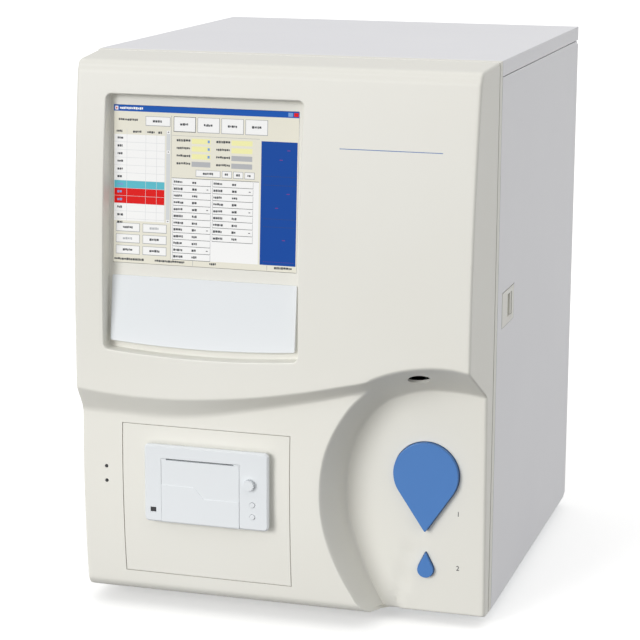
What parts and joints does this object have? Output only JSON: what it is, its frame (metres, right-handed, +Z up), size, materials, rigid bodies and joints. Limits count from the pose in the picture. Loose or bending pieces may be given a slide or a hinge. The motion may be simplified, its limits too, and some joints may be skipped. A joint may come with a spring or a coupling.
{
  "type": "bench hematology analyzer",
  "caption": "Bench hematology analyzer with a screen bay, panel printer, sample well, drop-shaped push buttons, metal case with a hinged side door, and its sampling mechanism",
  "frame": {"origin": "middle of the box around the whole object, at the height of the feet's underside", "axes": "+Z up, front towards -Y, +X to the right as the front is seen"},
  "size_m": [0.37, 0.46, 0.5054],
  "materials": {
    "shell": "warm white, fine texture",
    "screen": "clear front glass",
    "zinc": "zinc plated",
    "cool_plastic": "cool white, smooth",
    "rubber": "matt black",
    "paper": "thermal paper",
    "black_plastic": "black",
    "board": "circuit board",
    "button": "satin blue",
    "steel": "ground",
    "clear": "clear acrylic",
    "paint": "powder coat, grey white"
  },
  "bodies": {
    "analyzer": {"front_shell": "shell", "front_rim": "shell", "printer_panel": "shell", "touch_glass": "screen", "display_module": "zinc", "label_plate": "cool_plastic", "printer_body": "cool_plastic", "printer_lamp": "black_plastic", "status_light_board": "board", "button_board": "board", "probe_guide": "black_plastic", "probe_frame": "zinc", "guide_rod_left": "steel", "guide_rod_right": "steel", "probe_motor": "black_plastic", "rinse_block": "clear", "top_cover": "paint", "left_panel": "paint", "hinge_bracket_upper": "zinc", "hinge_bracket_lower": "zinc", "base_tray": "zinc", "rear_panel": "paint", "front_bulkhead": "zinc", "centre_wall": "zinc", "foot_front_left": "rubber", "foot_front_right": "rubber", "foot_rear_left": "rubber", "foot_rear_right": "rubber", "fan_frame": "black_plastic", "fan_guard": "zinc", "power_inlet": "black_plastic", "data_sockets": "zinc", "fluid_ports": "clear", "power_supply": "zinc", "main_board": "board", "bath_bracket": "zinc", "count_bath_front": "clear", "count_bath_rear": "clear", "valve_bank": "black_plastic", "syringe_pump": "zinc", "syringe_barrel": "clear", "pump_housing": "black_plastic"},
    "side_door": {"side_door": "paint", "latch_housing": "cool_plastic"},
    "latch_slider": {"latch_slider": "zinc"},
    "printer_door": {"printer_door": "cool_plastic"},
    "platen_roller": {"platen_roller": "rubber"},
    "paper_roll": {"paper_roll": "paper"},
    "printer_knob": {"printer_knob": "cool_plastic"},
    "printer_key_upper": {"printer_key_upper": "cool_plastic"},
    "printer_key_lower": {"printer_key_lower": "cool_plastic"},
    "start_button": {"start_button": "button"},
    "dilute_button": {"dilute_button": "button"},
    "probe_carriage": {"probe_carriage": "black_plastic", "sample_probe": "steel"},
    "lead_screw": {"lead_screw": "steel"},
    "fan_rotor": {"fan_rotor": "black_plastic"},
    "power_rocker": {"power_rocker": "black_plastic"},
    "syringe_plunger": {"syringe_plunger": "steel"},
    "pump_rotor": {"pump_rotor": "cool_plastic"}
  },
  "joints": [
    {"name": "side_door_hinge", "type": "hinge", "parent": "analyzer", "child": "side_door", "pos_m": [0.182, 0.2207, 0.25], "axis": [0, 0, 1], "range_deg": [0, 110]},
    {"name": "latch_slide", "type": "slide", "parent": "side_door", "child": "latch_slider", "axis": [0, -1, 0], "range_m": [0, 0.006]},
    {"name": "printer_door_hinge", "type": "hinge", "parent": "analyzer", "child": "printer_door", "pos_m": [-0.06545, -0.2205, 0.091], "axis": [1, 0, 0], "range_deg": [0, 85]},
    {"name": "platen_turn", "type": "hinge", "parent": "printer_door", "child": "platen_roller", "pos_m": [-0.0658, -0.2145, 0.142], "axis": [1, 0, 0], "continuous": true},
    {"name": "paper_roll_turn", "type": "hinge", "parent": "analyzer", "child": "paper_roll", "pos_m": [-0.06545, -0.1951, 0.1133], "axis": [1, 0, 0], "continuous": true},
    {"name": "printer_knob_turn", "type": "hinge", "parent": "analyzer", "child": "printer_knob", "pos_m": [-0.0189, -0.223, 0.1315], "axis": [0, -1, 0], "range_deg": [0, 90]},
    {"name": "printer_key_upper_press", "type": "slide", "parent": "analyzer", "child": "printer_key_upper", "axis": [0, 1, 0], "range_m": [0, 0.0008], "stiffness_N_per_m": 300, "springref_m": -0.001},
    {"name": "printer_key_lower_press", "type": "slide", "parent": "analyzer", "child": "printer_key_lower", "axis": [0, 1, 0], "range_m": [0, 0.0008], "stiffness_N_per_m": 300, "springref_m": -0.001},
    {"name": "start_press", "type": "slide", "parent": "analyzer", "child": "start_button", "axis": [0, 1, 0], "range_m": [0, 0.003], "stiffness_N_per_m": 600, "springref_m": -0.002},
    {"name": "dilute_press", "type": "slide", "parent": "analyzer", "child": "dilute_button", "axis": [0, 1, 0], "range_m": [0, 0.0025], "stiffness_N_per_m": 400, "springref_m": -0.001},
    {"name": "probe_travel", "type": "slide", "parent": "analyzer", "child": "probe_carriage", "axis": [0, 0, -1], "range_m": [0, 0.07]},
    {"name": "lead_screw_turn", "type": "hinge", "parent": "analyzer", "child": "lead_screw", "pos_m": [0.13, -0.18, 0.2613], "axis": [0, 0, 1], "range_deg": [0, 2521]},
    {"name": "fan_spin", "type": "hinge", "parent": "analyzer", "child": "fan_rotor", "pos_m": [-0.095, 0.1951, 0.41], "axis": [0, 1, 0], "continuous": true},
    {"name": "power_rocker_tilt", "type": "hinge", "parent": "analyzer", "child": "power_rocker", "pos_m": [-0.12, 0.2186, 0.073], "axis": [-1, 0, 0], "range_deg": [0, 20]},
    {"name": "syringe_travel", "type": "slide", "parent": "analyzer", "child": "syringe_plunger", "axis": [0, 0, -1], "range_m": [0, 0.053]},
    {"name": "pump_turn", "type": "hinge", "parent": "analyzer", "child": "pump_rotor", "pos_m": [0.0462, 0.11, 0.14], "axis": [1, 0, 0], "continuous": true}
  ],
  "couplings": [
    {"joint": "lead_screw_turn", "follows": "probe_travel", "rad_per_m": 628.3},
    {"joint": "platen_turn", "follows": "paper_roll_turn", "ratio": -5}
  ]
}
